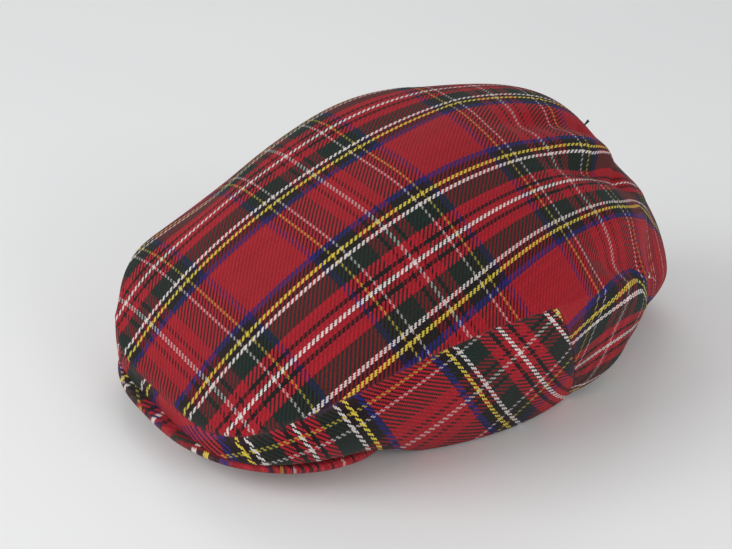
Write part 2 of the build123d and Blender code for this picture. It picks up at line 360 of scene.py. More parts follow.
def crown_across(points, angle, level, rim_row):
    """Cloth places across the crown panel, which leans a little and is gathered at the back."""
    crown = points[:rim_row + 1]
    over = length_over_crown(crown[..., 0], crown[..., 1]) / 100
    y = crown[..., 1] / 100
    across = over * (1.04 + 0.43 * y + 0.22 * y ** 2)
    across += -0.28 - 0.26 * y + 0.05 * y ** 2 + 0.05 * y ** 3
    # Behind the dome the lengthwise threads stop fanning out.
    past_dome = np.maximum(y - 0.85, 0)
    across += 1.6 * past_dome * over * (1 - np.abs(over))
    across -= 2.2 * past_dome * np.maximum(over - 0.65, 0)
    walked = lengths(points, 0)
    below = walked[rim_row + 1:] - walked[rim_row:rim_row + 1]
    sideways = np.tanh(2.5 * np.sin(angle[rim_row + 1:]))
    across = np.concatenate([across, across[-1:] + below * sideways / REPEAT_ACROSS])
    # The left dart takes up cloth, so the lengthwise threads meet it lower down.
    near_dart = np.exp(-((angle - radians(144)) / radians(16)) ** 2)
    near_rim = np.exp(-((level - 1.05) / 0.3) ** 2)
    return soften_back(across - 0.11 * near_dart * near_rim, rim_row) + 0.5


def crown_along(points, angle, rim_row):
    """Cloth places along the crown panel, from front to back."""
    x, y, z = (points[..., k] / 100 for k in range(3))
    # Towards the middle of the back the cloth runs straight down.
    at_back = smooth_step((np.abs(angle) - radians(125)) / radians(40))
    along = 1.05 + 0.03 * x + 1.02 * y + 0.33 * z + 0.87 * at_back * np.maximum(1.1 - z, 0)
    # Behind the middle the threads across are neither bunched up nor drawn apart too far.
    middle = rim_row // 2
    evenly = np.diff(lengths(points, 0)[middle:], axis=0) / REPEAT_ACROSS
    steps = np.clip(np.diff(along[middle:], axis=0), 0.7 * evenly, 1.6 * evenly)
    along[middle + 1:] = along[middle] + np.cumsum(steps, axis=0)
    return along


def side_cloth(points):
    """Cloth places on a side panel, which is cut across the weave and leans back."""
    x, y, z = (points[..., k] / 100 for k in range(3))
    up = -0.13 + 0.32 * x + 0.30 * y - 0.72 * z + 0.19 * x ** 2 + 0.18 * x * y + 0.19 * y ** 2
    along = 0.17 + 1.18 * x + 0.60 * y + 0.71 * z - 0.70 * x ** 2 + 0.20 * x * y - 0.15 * y ** 2
    return np.stack([-along, up], axis=-1)


def brim_cloth(points):
    """Cloth places on the brim, which is cut on the bias."""
    x, y = points[..., 0] / 100, points[..., 1] / 100
    return np.stack([0.11 + 0.62 * x + 0.11 * y, -0.41 - 0.31 * x - 0.85 * y], axis=-1)


# ---- Meshes ----

def to_frame(points):
    """Millimetres around the shaping axis to metres in the frame."""
    return (np.asarray(points, float).reshape(-1, 3) - [0, LENGTH_CENTRE_Y, 0]) * MM


def new_piece(name, points, faces, material, cloth=None, wear=None, body="cap"):
    """A smooth mesh piece that rides on a body, with its cloth places and wear on its points."""
    mesh = bpy.data.meshes.new(name)
    mesh.from_pydata(to_frame(points).tolist(), [], faces)
    work = bmesh.new()
    work.from_mesh(mesh)
    bmesh.ops.recalc_face_normals(work, faces=work.faces)
    work.to_mesh(mesh)
    work.free()
    mesh.polygons.foreach_set("use_smooth", np.ones(len(mesh.polygons), bool))
    if cloth is not None:
        corner_point = np.zeros(len(mesh.loops), int)
        mesh.loops.foreach_get("vertex_index", corner_point)
        layer = mesh.uv_layers.new(name="cloth")
        layer.data.foreach_set("uv", cloth.reshape(-1, 2)[corner_point].ravel().astype(np.float32))
    if wear is not None:
        attribute = mesh.attributes.new("wear", "FLOAT", "POINT")
        attribute.data.foreach_set("value", wear.ravel().astype(np.float32))
    mesh.materials.append(material)
    piece = bpy.data.objects.new(name, mesh)
    bpy.context.scene.collection.objects.link(piece)
    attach(piece, body)
    return piece


def quads(number):
    """Quads between the rows and columns of a grid of point numbers."""
    corners = [number[:-1, :-1], number[:-1, 1:], number[1:, 1:], number[1:, :-1]]
    return np.stack(corners, axis=-1).reshape(-1, 4).tolist()


def sheet_piece(name, outer, thickness, material, cloth=None, wear=None):
    """A closed sheet of cloth under a grid of outer points."""
    inner = outer - grid_normals(outer) * thickness
    rows, columns = outer.shape[:2]
    number = np.arange(rows * columns).reshape(rows, columns)
    inner_number = number + rows * columns
    edge = [number[0, :-1], number[:-1, -1], number[-1, :0:-1], number[::-1, 0]]
    edge = np.concatenate(edge)
    rim = np.stack([edge, edge + rows * columns])
    faces = quads(number) + quads(inner_number) + quads(rim)
    points = np.concatenate([outer.reshape(-1, 3), inner.reshape(-1, 3)])
    if cloth is not None:
        cloth = np.concatenate([cloth.reshape(-1, 2)] * 2)
    if wear is not None:
        wear = np.concatenate([wear.ravel()] * 2)
    return new_piece(name, points, faces, material, cloth, wear)


def band_piece(name, sections, material, cloth=None, wear=None, closed=False, body="cap"):
    """A solid swept through sections, each a closed loop of points. closed joins it end to end."""
    stations, loop = sections.shape[:2]
    number = np.arange(stations * loop).reshape(stations, loop)
    ends = [] if closed else [number[0].tolist(), number[-1].tolist()]
    if closed:
        number = np.concatenate([number, number[:1]])
    number = np.concatenate([number, number[:, :1]], axis=1)
    return new_piece(name, sections, quads(number) + ends, material, cloth, wear, body)


def dress(node, material):
    """Gives a CAD part that stays in view its own material."""
    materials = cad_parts[node].data.materials
    materials.clear()
    materials.append(material)


# ---- Materials ----

def linear(red, green, blue):
    """A colour given as it looks on screen, 0 to 255, as Blender's linear values."""
    shares = [value / 255 for value in (red, green, blue)]
    return tuple(s / 12.92 if s <= 0.04045 else ((s + 0.055) / 1.055) ** 2.4 for s in shares) + (1.0,)


class Shader:
    """A node material under construction."""

    def __init__(self, name):
        self.material = bpy.data.materials.new(name)
        self.material.use_nodes = True
        self.nodes = self.material.node_tree.nodes
        self.links = self.material.node_tree.links
        self.surface = self.nodes["Principled BSDF"]

    def feed(self, socket, value):
        if isinstance(value, bpy.types.NodeSocket):
            self.links.new(value, socket)
        else:
            socket.default_value = value

    def math(self, operation, first, second=0.0, third=0.0):
        node = self.nodes.new("ShaderNodeMath")
        node.operation = operation
        for socket, value in zip(node.inputs, (first, second, third)):
            self.feed(socket, value)
        return node.outputs[0]

    def mix(self, share, first, second, blend="MIX"):
        node = self.nodes.new("ShaderNodeMix")
        node.data_type = "RGBA"
        node.blend_type = blend
        self.feed(node.inputs["Factor"], share)
        self.feed(node.inputs[6], first)
        self.feed(node.inputs[7], second)
        return node.outputs[2]

    def noise(self, vector, scale, detail=2.0):
        node = self.nodes.new("ShaderNodeTexNoise")
        self.feed(node.inputs["Vector"], vector)
        node.inputs["Scale"].default_value = scale
        node.inputs["Detail"].default_value = detail
        return node.outputs["Fac"]

    def spread(self, value, low, high):
        """A 0 to 1 value stretched to the range from low to high."""
        return self.math("MULTIPLY_ADD", value, high - low, low)

    def position(self):
        return self.nodes.new("ShaderNodeTexCoord").outputs["Object"]

    def vector(self, x, y, z=0.0):
        node = self.nodes.new("ShaderNodeCombineXYZ")
        for socket, value in zip(node.inputs, (x, y, z)):
            self.feed(socket, value)
        return node.outputs[0]

    def split(self, vector):
        node = self.nodes.new("ShaderNodeSeparateXYZ")
        self.feed(node.inputs[0], vector)
        return node.outputs

    def cloth_place(self):
        node = self.nodes.new("ShaderNodeUVMap")
        node.uv_map = "cloth"
        return self.split(node.outputs[0])

    def wear(self):
        node = self.nodes.new("ShaderNodeAttribute")
        node.attribute_name = "wear"
        return node.outputs["Fac"]

    def bump(self, height, strength, distance):
        node = self.nodes.new("ShaderNodeBump")
        node.inputs["Strength"].default_value = strength
        node.inputs["Distance"].default_value = distance
        self.feed(node.inputs["Height"], height)
        self.feed(self.surface.inputs["Normal"], node.outputs[0])

    def clear_from_behind(self):
        """Makes the back of the surface clear, so that the cap can be looked at from below."""
        back = self.nodes.new("ShaderNodeNewGeometry").outputs["Backfacing"]
        clear = self.nodes.new("ShaderNodeBsdfTransparent").outputs[0]
        mixed = self.nodes.new("ShaderNodeMixShader")
        for socket, value in zip(mixed.inputs, (back, self.surface.outputs[0], clear)):
            self.links.new(value, socket)
        self.links.new(mixed.outputs[0], self.nodes["Material Output"].inputs["Surface"])

    def finish(self, colour, roughness, sheen=0.0, specular=0.3):
        self.feed(self.surface.inputs["Base Color"], colour)
        self.feed(self.surface.inputs["Roughness"], roughness)
        self.feed(self.surface.inputs["Sheen Weight"], sheen)
        self.surface.inputs["Sheen Roughness"].default_value = 0.45
        self.feed(self.surface.inputs["Specular IOR Level"], specular)
        return self.material


def weave(shader, across, along, repeat, warp_share, crowding=0.0):
    """Threads of a weave: whether the warp shows, the height of what shows, and both threads' numbers.

    across and along count threads. The warp passes over warp_share threads of every repeat.
    crowding is how much further its floats spread over the weft, in threads.
    """
    thread_i = shader.math("FLOOR", across)
    thread_j = shader.math("FLOOR", along)
    # Each thread is round, and rises and falls along its float.
    float_length = warp_share + crowding
    warp_start = shader.math("ADD", thread_i, crowding / 2)
    warp_run = shader.math("FLOORED_MODULO", shader.math("ADD", warp_start, along), repeat)
    warp_on_top = shader.math("LESS_THAN", warp_run, float_length)
    weft_run = shader.math("FLOORED_MODULO", shader.math("ADD", thread_j, across), repeat)
    weft_run = shader.math("SUBTRACT", weft_run, warp_share)
    warp_round = shader.math("SINE", shader.math("MULTIPLY", shader.math("FRACT", across), pi))
    weft_round = shader.math("SINE", shader.math("MULTIPLY", shader.math("FRACT", along), pi))
    warp_arch = shader.math("SINE", shader.math("MULTIPLY", warp_run, pi / float_length))
    weft_arch = shader.math("SINE", shader.math("MULTIPLY", weft_run, pi / (repeat - warp_share)))
    warp_height = shader.math("MULTIPLY", warp_round, shader.spread(warp_arch, 0.45, 1.0))
    weft_height = shader.math("MULTIPLY", weft_round, shader.spread(weft_arch, 0.45, 1.0))
    difference = shader.math("SUBTRACT", warp_height, weft_height)
    height = shader.math("MULTIPLY_ADD", difference, warp_on_top, weft_height)
    return warp_on_top, height, thread_i, thread_j


# The check lengthwise: colours and numbers of threads from the middle of a white line to the
# middle of the broad red stripe. The other half of each repeat mirrors it.
RED = linear(190, 27, 44)
BLUE = linear(30, 32, 122)
BLACK = linear(15, 13, 17)
GREEN = linear(8, 46, 38)
YELLOW = linear(238, 214, 78)
WHITE = linear(244, 236, 232)
STRIPES = [(WHITE, 2), (RED, 4), (BLACK, 3), (RED, 8), (GREEN, 15), (WHITE, 3), (BLACK, 4),
           (YELLOW, 3), (BLACK, 6), (BLUE, 5), (RED, 27)]
# The threads across have finer lines.
CROSS_STRIPES = [(WHITE, 2), (RED, 4), (BLACK, 3), (RED, 8), (GREEN, 15), (WHITE, 2), (BLACK, 6),
                 (YELLOW, 2), (BLACK, 6), (BLUE, 5), (RED, 27)]
HALF_REPEAT = sum(count for colour, count in STRIPES)


def stripe_colour(shader, thread, stripes):
    """Colour of a thread from its number."""
    share = shader.math("DIVIDE", shader.math("PINGPONG", thread, HALF_REPEAT), HALF_REPEAT)
    node = shader.nodes.new("ShaderNodeValToRGB")
    ramp = node.color_ramp
    ramp.interpolation = "CONSTANT"
    shader.feed(node.inputs[0], share)
    start = 0
    for index, (colour, count) in enumerate(stripes):
        if index < 2:
            stop = ramp.elements[index]
            stop.position = max(start - 0.5, 0) / HALF_REPEAT
        else:
            stop = ramp.elements.new((start - 0.5) / HALF_REPEAT)
        stop.color = colour
        start += count
    return node.outputs[0]


def thread_shade(shader, thread, seed):
    """Small difference in lightness between one thread and the next."""
    node = shader.nodes.new("ShaderNodeTexWhiteNoise")
    node.noise_dimensions = "2D"
    shader.feed(node.inputs["Vector"], shader.vector(thread, seed))
    return node.outputs["Value"]


def checked_cloth():
    """Brushed two-and-two twill in a six-colour check."""
    shader = Shader("checked_twill")
    place = shader.cloth_place()
    across = shader.math("MULTIPLY", place[0], 2 * HALF_REPEAT)
    along = shader.math("MULTIPLY", place[1], 2 * HALF_REPEAT)
    warp_on_top, height, thread_i, thread_j = weave(shader, across, along, 4, 2, 0.3)
    warp = shader.mix(shader.spread(thread_shade(shader, thread_i, 3.0), 0.0, 0.24),
                      stripe_colour(shader, thread_i, STRIPES), (0, 0, 0, 1))
    weft = shader.mix(shader.spread(thread_shade(shader, thread_j, 7.0), 0.0, 0.24),
                      stripe_colour(shader, thread_j, CROSS_STRIPES), (0, 0, 0, 1))
    # The weft lies deeper, in the shade of the warp.
    weft = shader.mix(0.5, weft, warp, "MULTIPLY")
    colour = shader.mix(warp_on_top, weft, warp)
    # Shade is painted into the gaps between threads, and fine fuzz and slow blotches break up the dye.
    painted_gap_shade = shader.math("SUBTRACT", 1.0, shader.math("POWER", height, 0.6))
    colour = shader.mix(shader.math("MULTIPLY", painted_gap_shade, 0.55), colour, (0.006, 0.004, 0.006, 1))
    position = shader.position()
    blotch = shader.spread(shader.noise(position, 22.0), -0.10, 0.16)
    blotch = shader.math("MAXIMUM", blotch, 0.0)
    colour = shader.mix(blotch, colour, linear(90, 30, 36))
    fuzz = shader.noise(position, 2600.0, 3.0)
    colour = shader.mix(shader.spread(fuzz, -0.02, 0.05), colour, linear(190, 150, 150))
    patchy = shader.spread(shader.noise(position, 420.0, 4.0), -0.1, 0.3)
    worn = shader.math("MULTIPLY", shader.wear(), patchy)
    colour = shader.mix(shader.math("MAXIMUM", worn, 0.0), colour, linear(176, 110, 114))
    shader.bump(shader.math("MULTIPLY_ADD", fuzz, 0.35, height), 0.55, 0.0004)
    roughness = shader.spread(shader.noise(position, 60.0), 0.78, 0.95)
    return shader.finish(colour, roughness, sheen=0.06, specular=0.12)


def satin_lining():
    """Smooth black lining with a fine diagonal satin sheen."""
    shader = Shader("satin_lining")
    x, y, z = shader.split(shader.position())[:3]
    across = shader.math("MULTIPLY", shader.math("ADD", x, z), 3300.0)
    along = shader.math("MULTIPLY", shader.math("SUBTRACT", y, z), 3300.0)
    _, height, thread_i, _ = weave(shader, across, along, 5, 4)
    shade = shader.noise(shader.position(), 35.0, 4.0)
    colour = shader.mix(shade, linear(26, 26, 30), linear(44, 44, 50))
    uneven = shader.math("MULTIPLY", thread_shade(shader, thread_i, 2.0), 0.3)
    colour = shader.mix(uneven, colour, linear(66, 66, 74))
    shader.bump(height, 0.25, 0.0002)
    return shader.finish(colour, shader.spread(shade, 0.28, 0.42), sheen=0.1, specular=0.5)


def cotton_band():
    """Dense black cotton twill."""
    shader = Shader("cotton_twill_band")
    place = shader.cloth_place()
    across = shader.math("MULTIPLY", place[0], 2.2)
    along = shader.math("MULTIPLY", place[1], 2.2)
    height = weave(shader, across, along, 3, 2)[1]
    lint = shader.noise(shader.position(), 1500.0, 3.0)
    colour = shader.mix(shader.spread(lint, 0.0, 0.5), linear(24, 24, 28), linear(58, 58, 64))
    colour = shader.mix(shader.math("MULTIPLY", shader.wear(), 0.35), colour, linear(92, 90, 92))
    shader.bump(height, 0.5, 0.0003)
    return shader.finish(colour, shader.spread(lint, 0.75, 0.95), sheen=0.3, specular=0.2)


def woven_elastic():
    """White elastic with ribs across it."""
    shader = Shader("woven_elastic")
    x, y, z = shader.split(shader.position())[:3]
    rib = shader.math("SINE", shader.math("MULTIPLY", shader.math("ADD", x, y), 5200.0))
    line = shader.math("SINE", shader.math("MULTIPLY", z, 6800.0))
    # Shade is painted into the grooves between the ribs, following the same wave as the bump.
    colour = shader.mix(shader.spread(rib, 0.5, 1.0), linear(196, 194, 188), linear(230, 229, 224))
    shader.bump(shader.math("ADD", rib, line), 0.5, 0.0003)
    return shader.finish(colour, shader.spread(shader.noise(shader.position(), 300.0), 0.7, 0.9), sheen=0.1)


def label_tape():
    """Blank woven label tape."""
    shader = Shader("label_tape")
    x, y, z = shader.split(shader.position())[:3]
    across = shader.math("MULTIPLY", x, 4000.0)
    along = shader.math("MULTIPLY", z, 4000.0)
    _, height, _, thread_j = weave(shader, across, along, 5, 4)
    shade = shader.noise(shader.position(), 90.0, 3.0)
    colour = shader.mix(shade, linear(226, 223, 214), linear(242, 240, 233))
    uneven = shader.math("MULTIPLY", thread_shade(shader, thread_j, 5.0), 0.12)
    colour = shader.mix(uneven, colour, linear(180, 176, 166))
    shader.bump(height, 0.35, 0.0002)
    return shader.finish(colour, shader.spread(shade, 0.5, 0.7), sheen=0.2)


def sewing_thread(name, dark, light):
    """Two-ply sewing thread."""
    shader = Shader(name)
    shade = shader.noise(shader.position(), 1800.0, 4.0)
    colour = shader.mix(shade, dark, light)
    shader.bump(shade, 0.4, 0.0002)
    return shader.finish(colour, shader.spread(shade, 0.5, 0.75), sheen=0.3)


def board_plastic():
    """Stiff cloudy plastic sheet."""
    shader = Shader("board_plastic")
    shade = shader.noise(shader.position(), 40.0, 5.0)
    colour = shader.mix(shade, linear(212, 209, 200), linear(228, 226, 219))
    shader.bump(shader.noise(shader.position(), 900.0, 3.0), 0.15, 0.0002)
    return shader.finish(colour, shader.spread(shade, 0.4, 0.55), specular=0.4)


cloth_material = checked_cloth()
lining_material = satin_lining()
band_material = cotton_band()
label_material = label_tape()
white_thread = sewing_thread("white_thread", linear(205, 200, 192), linear(246, 243, 238))
black_thread = sewing_thread("black_thread", linear(14, 14, 16), linear(48, 48, 52))


# ---- Crown and side panels ----

CLOTH_THICKNESS = 0.9

# Length over the crown from side to side, length around a side panel, and height of the walls.
CROWN_SPAN = 340.0
SIDE_SPAN = 240.0
WALL_SPAN = 60.0

# How far the cloth curls in at its edges, on the crown's sides and on its front edge.
EDGE_RADIUS = 1.2
FRONT_EDGE_RADIUS = 2.1

# The right panel is cut from another part of the check, in repeats.
RIGHT_PANEL_SHIFT = np.array([0.35, 0.2])

# Gap between the brim and the cloth lying on it.
BRIM_GAP = 0.25


def crown_points(columns, rows, tail_rows):
    """A grid over the crown from its front edge to the back hem.

    Returns the angle and level of its points, the number of the rim's row, and the points.
    """
    across = -1 + 2 * with_edges(columns, CROWN_SPAN)
    along = -np.cos(pi * np.linspace(0, 1, rows))
    angle, level = square_to_disc(across[None, :], along[:, None])
    tail_level = 1 + with_edges(tail_rows, WALL_SPAN, start=False)[1:]
    from_back = pi - np.abs(square_to_disc(across, np.ones_like(across))[0])
    narrowing = (pi - rear_seam_angle(tail_level)) / (pi - REAR_SEAM_TOP)
    tail_angle = np.copysign(pi - from_back[None, :] * narrowing[:, None], across[None, :])
    tail_level = np.broadcast_to(tail_level[:, None], tail_angle.shape)
    angle = np.concatenate([angle, tail_angle])
    level = np.concatenate([level, tail_level])
    return angle, level, rows - 1, soften_back(cap_surface(angle, level), rows - 1)


def make_crown():
    """The crown panel. Returns its smooth points, its worn points and their normals."""
    angle, level, rim_row, rest = crown_points(230, 250, 60)
    across = crown_across(rest, angle, level, rim_row)
    cloth = np.stack([across, crown_along(rest, angle, rim_row)], axis=-1)
    edge = edge_distance(rest)
    normal = grid_normals(rest)
    in_front = smooth_step((-rest[..., 1] - 60) / 50)
    radius = EDGE_RADIUS + (FRONT_EDGE_RADIUS - EDGE_RADIUS) * in_front
    height = fold_height(rest, angle, level) * smooth_step(edge / 8) - turned_edge(edge, radius)
    # The seam allowance pads the cloth just behind the front edge.
    height += 0.9 * in_front * np.exp(-((edge - 4) / 3) ** 2)
    outer = rest + normal * height[..., None]
    wear = np.exp(-edge / EDGE_RADIUS)
    piece = sheet_piece("crown", outer, CLOTH_THICKNESS, cloth_material, cloth, wear)
    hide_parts("crown_top_panel", "crown_interlining")
    return rest, outer, grid_normals(outer)


def side_grid(columns, rows):
    """Angle and level over the left side panel, from the centre front to its rear seam."""
    level = 1 + with_edges(rows, WALL_SPAN)[:, None]
    share = with_edges(columns, SIDE_SPAN)[None, :]
    angle = share * rear_seam_angle(level)
    return angle, np.broadcast_to(level, angle.shape)


def make_side(name, mirror, *nodes):
    """A side panel, worked out for the left and mirrored for the right."""
    angle, level = side_grid(190, 46)
    rest = cap_surface(angle, level, FRONT_HANG)
    cloth = side_cloth(rest)
    edge = edge_distance(rest)
    normal = grid_normals(rest)
    # Slight waves run along the panel.
    height = 0.35 * np.sin(lengths(rest, 1) / 17) * smooth_step(edge / 12) - turned_edge(edge, EDGE_RADIUS)
    outer = rest + normal * height[..., None]
    # The cloth in front sags, and lies on the brim wherever it comes down to it.
    ahead_of_tips = BRIM_TIP_Y - outer[..., 1]
    brim_top = brim_height(outer[..., 1]) + BRIM_HALF_THICKNESS + BRIM_GAP
    outer[..., 2] -= FRONT_SAG * np.sin(pi * (level - 1)) * smooth_step(ahead_of_tips / 45)
    outer[..., 2] += np.maximum(brim_top - outer[..., 2], 0) * smooth_step(ahead_of_tips / 8)
    if mirror:
        outer = outer * [-1, 1, 1]
        cloth = cloth * [-1, 1] + RIGHT_PANEL_SHIFT
    wear = np.exp(-edge / EDGE_RADIUS)
    piece = sheet_piece(name, outer, CLOTH_THICKNESS, cloth_material, cloth, wear)
    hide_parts(*nodes)


crown_smooth, crown_worn, crown_normals = make_crown()


def on_crown(point):
    """The place on the worn crown of a point of the smooth surface, and the normal there."""
    apart = ((crown_smooth - np.array(point)) ** 2).sum(-1)
    row, column = np.unravel_index(apart.argmin(), apart.shape)
    return crown_worn[row, column], crown_normals[row, column]


make_side("side_left", False, "side_panel_left", "side_interlining_left")
make_side("side_right", True, "side_panel_right", "side_interlining_right")


# ---- Brim ----

def brim_frame(stations):
    """Root and outer points of the brim in plan, from the right temple round to the left."""
    half = BRIM_OUTLINE[::-1]
    outline = [(-x, y) for x, y in half] + BRIM_OUTLINE[1:]
    outer = smooth_curve(outline, stations)
    away = outer - [0, BRIM_FAN_Y]
    half_width = HEM_HALF_WIDTH - BRIM_ROOT_INSET
    half_length = HEM_HALF_LENGTH - BRIM_ROOT_INSET
    # Where the ray from the fan's centre meets the ellipse around the head.
    start = (BRIM_FAN_Y - HEM_CENTRE_Y) / half_length
    a = (away[:, 0] / half_width) ** 2 + (away[:, 1] / half_length) ** 2
    b = 2 * start * away[:, 1] / half_length
    c = start ** 2 - 1
    share = np.minimum((-b + np.sqrt(b ** 2 - 4 * a * c)) / (2 * a), 0.985)
    root = [0, BRIM_FAN_Y] + away * share[:, None]
    return root, outer


# Where the flat part of the brim's section ends, in mm from its outer edge.
FLAT_INSET = 2.4


def brim_section(side):
    """One cover's section: a reach as inset from the brim's edge, a height, and a share of the reach."""
    top = [(FLAT_INSET, BRIM_HALF_THICKNESS, share) for share in np.linspace(0, 0.96, 14)]
    edge = []
    for turn in np.linspace(pi / 2, radians(-25) if side > 0 else 0, 9):
        edge.append((BRIM_HALF_THICKNESS * (1 - cos(turn)), BRIM_HALF_THICKNESS * sin(turn), 1))
    inner = [(1.3, 0.25, 1), (2.6, 0.95, 1)]
    under = [(FLAT_INSET, 0.98, share) for share in np.linspace(0.9, 0, 10)]
    return top + edge + inner + under


def make_brim_cover(name, side, node):
    """The cover above the board, with side 1, or below it, with side -1."""
    root, outer = brim_frame(150)
    width = np.linalg.norm(outer - root, axis=-1)
    away = (outer - root) / width[:, None]
    points, wears = [], []
    for inset, height, share in brim_section(side):
        reach = share * np.maximum(width - inset, 0.1)
        plan = root + away * reach[:, None]
        z = brim_height(plan[:, 1]) + side * height
        points.append(np.column_stack([plan, z]))
        wears.append(np.exp(-(width - reach) / 1.5))
    points = np.stack(points, axis=1)
    wear = np.stack(wears, axis=1)
    piece = band_piece(name, points, cloth_material, brim_cloth(points), wear)
    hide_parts(node)


make_brim_cover("brim_top", 1, "brim_top_cover")
make_brim_cover("brim_under", -1, "brim_under_cover")
dress("brim_board", board_plastic())


# ---- Inside: lining, sweatband, elastic, label ----

# How far the lining lies below the smooth outer surface, and its thickness.
LINING_DEPTH = 3.3
LINING_THICKNESS = 0.3


def make_lining(name, angle, level, rest, mirror, node):
    """A lining panel under a grid of the smooth surface, with the worn cloth's folds."""
    edge = edge_distance(rest)
    normal = grid_normals(rest)
    ripple = 0.35 * np.sin(rest[..., 0] / 9 + 2 * np.sin(rest[..., 1] / 23)) * smooth_step(edge / 15)
    height = fold_height(rest, angle, level) * smooth_step(edge / 8) - LINING_DEPTH + ripple
    outer = rest + normal * height[..., None]
    if mirror:
        outer = outer * [-1, 1, 1]
    piece = sheet_piece(name, outer, LINING_THICKNESS, lining_material)
    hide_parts(node)


crown_angle, crown_level, _, crown_rest = crown_points(90, 100, 24)
make_lining("crown_lining", crown_angle, crown_level, crown_rest, False, "lining_crown")
side_angle, side_level = side_grid(80, 20)
side_rest = cap_surface(side_angle, side_level)
make_lining("side_lining_left", side_angle, side_level, side_rest, False, "lining_side_left")
make_lining("side_lining_right", side_angle, side_level, side_rest, True, "lining_side_right")


def hem_loop(angle, inset):
    """Plan points of the hem ellipse, moved in by the inset."""
    x = (HEM_HALF_WIDTH - inset) * np.sin(angle)
    y = HEM_CENTRE_Y - (HEM_HALF_LENGTH - inset) * np.cos(angle)
    return x, y


def make_sweatband():
    """Band around the head with rolled edges, eased in by the elastic at the back."""
    angle = np.linspace(0, tau, 420, endpoint=False)
    from_front = np.minimum(angle, tau - angle)
    at_back = smooth_step((from_front - radians(128)) / radians(14))
    outer_inset, inner_inset = SWEATBAND_INSET
    middle = (outer_inset + inner_inset) / 2
    half = (inner_inset - outer_inset) / 2
    rise = np.concatenate([[0, 0.3, 1.0], np.linspace(2, 30, 13), [31.0, 31.7, 32.0]])
    swell = np.concatenate([[0.2, 0.7, 0.95], np.full(13, 0.85), [1.1, 1.0, 0.3]])
    insets = np.concatenate([middle - half * swell, (middle + half * swell)[::-1]])
    rises = np.concatenate([rise, rise[::-1]])
    ease = 0.45 * np.sin(from_front * 70) * at_back
    points = []
    for inset, up in zip(insets, rises):
        x, y = hem_loop(angle, inset + ease * sin(pi * up / SWEATBAND_HEIGHT))
        points.append(np.stack([x, y, hem_height(y) + up], axis=-1))
    points = np.stack(points, axis=1)
    around = lengths(points, 0)[:, :1] * np.ones(len(insets))
    cloth = np.stack([around, np.broadcast_to(rises, around.shape)], axis=-1)
    wear = np.broadcast_to(np.exp(-(SWEATBAND_HEIGHT - rises) / 1.5), around.shape)
    piece = band_piece("sweatband_cloth", points, band_material, cloth, wear, closed=True)
    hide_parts("sweatband")


STITCH_LENGTH = 2.2
STITCH_RADIUS = 0.22


def stitch_rows(name, places, directions, normals):
    """Short sewn stitches, each a slim rounded bar half sunk in the cloth."""
    steps, sides = 5, 6
    share = np.linspace(0, 1, steps)[:, None, None]
    turn = np.linspace(0, tau, sides, endpoint=False)[:, None]
    width = STITCH_RADIUS * (0.35 + 0.65 * np.sin(pi * (0.12 + 0.76 * share)))
    ahead = (share - 0.5) * STITCH_LENGTH
    lift = STITCH_RADIUS * (np.sin(pi * share) - 0.3) + width * np.cos(turn)
    places, directions, normals = (v[:, None, None] for v in (places, directions, normals))
    sideways = np.cross(directions, normals) * width * np.sin(turn)
    points = places + directions * ahead + normals * lift + sideways
    number = np.arange(steps * sides).reshape(steps, sides)
    stitch = quads(np.concatenate([number, number[:, :1]], axis=1))
    stitch += [number[0].tolist(), number[-1].tolist()]
    starts = range(0, len(places) * steps * sides, steps * sides)
    faces = [[start + corner for corner in face] for start in starts for face in stitch]
    new_piece(name, points, faces, black_thread)


def make_band_stitches():
    """Two rows of stitches on the inside of the sweatband, near its top and bottom edges."""
    count = 170
    angle = (np.arange(count) + 0.5) * tau / count
    x, y = hem_loop(angle, SWEATBAND_INSET[1] + 0.02)
    rows = []
    for up in (3.0, 29.0):
        loop = np.stack([x, y, hem_height(y) + up], axis=-1)
        ahead = np.roll(loop, -1, axis=0) - np.roll(loop, 1, axis=0)
        ahead /= np.linalg.norm(ahead, axis=-1, keepdims=True)
        inward = np.cross([0, 0, 1], ahead)
        inward /= np.linalg.norm(inward, axis=-1, keepdims=True)
        rows.append((loop, ahead, inward))
    stitch_rows("sweatband_stitches", *(np.concatenate(values) for values in zip(*rows)))


def make_label():
    """Blank label: folded top edge, slightly curled tape."""
    low, high = (np.array(corner) / MM + [0, LENGTH_CENTRE_Y, 0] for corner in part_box("care_label"))
    half = (high[0] - low[0]) / 2
    middle_y = (low[1] + high[1]) / 2
    sections = []
    for across in np.linspace(-1, 1, 17):
        heights = np.linspace(low[2], high[2], 15)
        share = (high[2] - heights) / (high[2] - low[2])
        curl = 0.10 * across ** 2 * share
        front = np.column_stack([np.full(15, across * half), middle_y - 0.14 - curl, heights])
        back = np.column_stack([np.full(15, across * half), middle_y + 0.10 - curl, heights])[::-1]
        sections.append(np.concatenate([front, back]))
    piece = band_piece("label_tape", np.array(sections), label_material, body="label_flap")
    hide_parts("care_label")


make_sweatband()
make_band_stitches()
make_label()
dress("back_elastic", woven_elastic())


# ---- Loose threads and tacks ----

def thread_piece(name, path, radius, material):
    """A two-ply thread along a path."""
    curve = smooth_curve(path, 24)
    ahead = np.gradient(curve, axis=0)
    ahead /= np.linalg.norm(ahead, axis=-1, keepdims=True)
    side = np.cross(ahead, [0.3, 0.2, 0.9])
    side /= np.linalg.norm(side, axis=-1, keepdims=True)
    up = np.cross(side, ahead)
    sections = []
    for step, (place, a, b) in enumerate(zip(curve, side, up)):
        ring = []
        for k in range(10):
            turn = tau * k / 10 + step * 0.5
            swell = radius * (0.8 + 0.25 * abs(cos(tau * k / 10)))
            ring.append(place + swell * (a * cos(turn) + b * sin(turn)))
        sections.append(ring)
    return band_piece(name, np.array(sections), material)


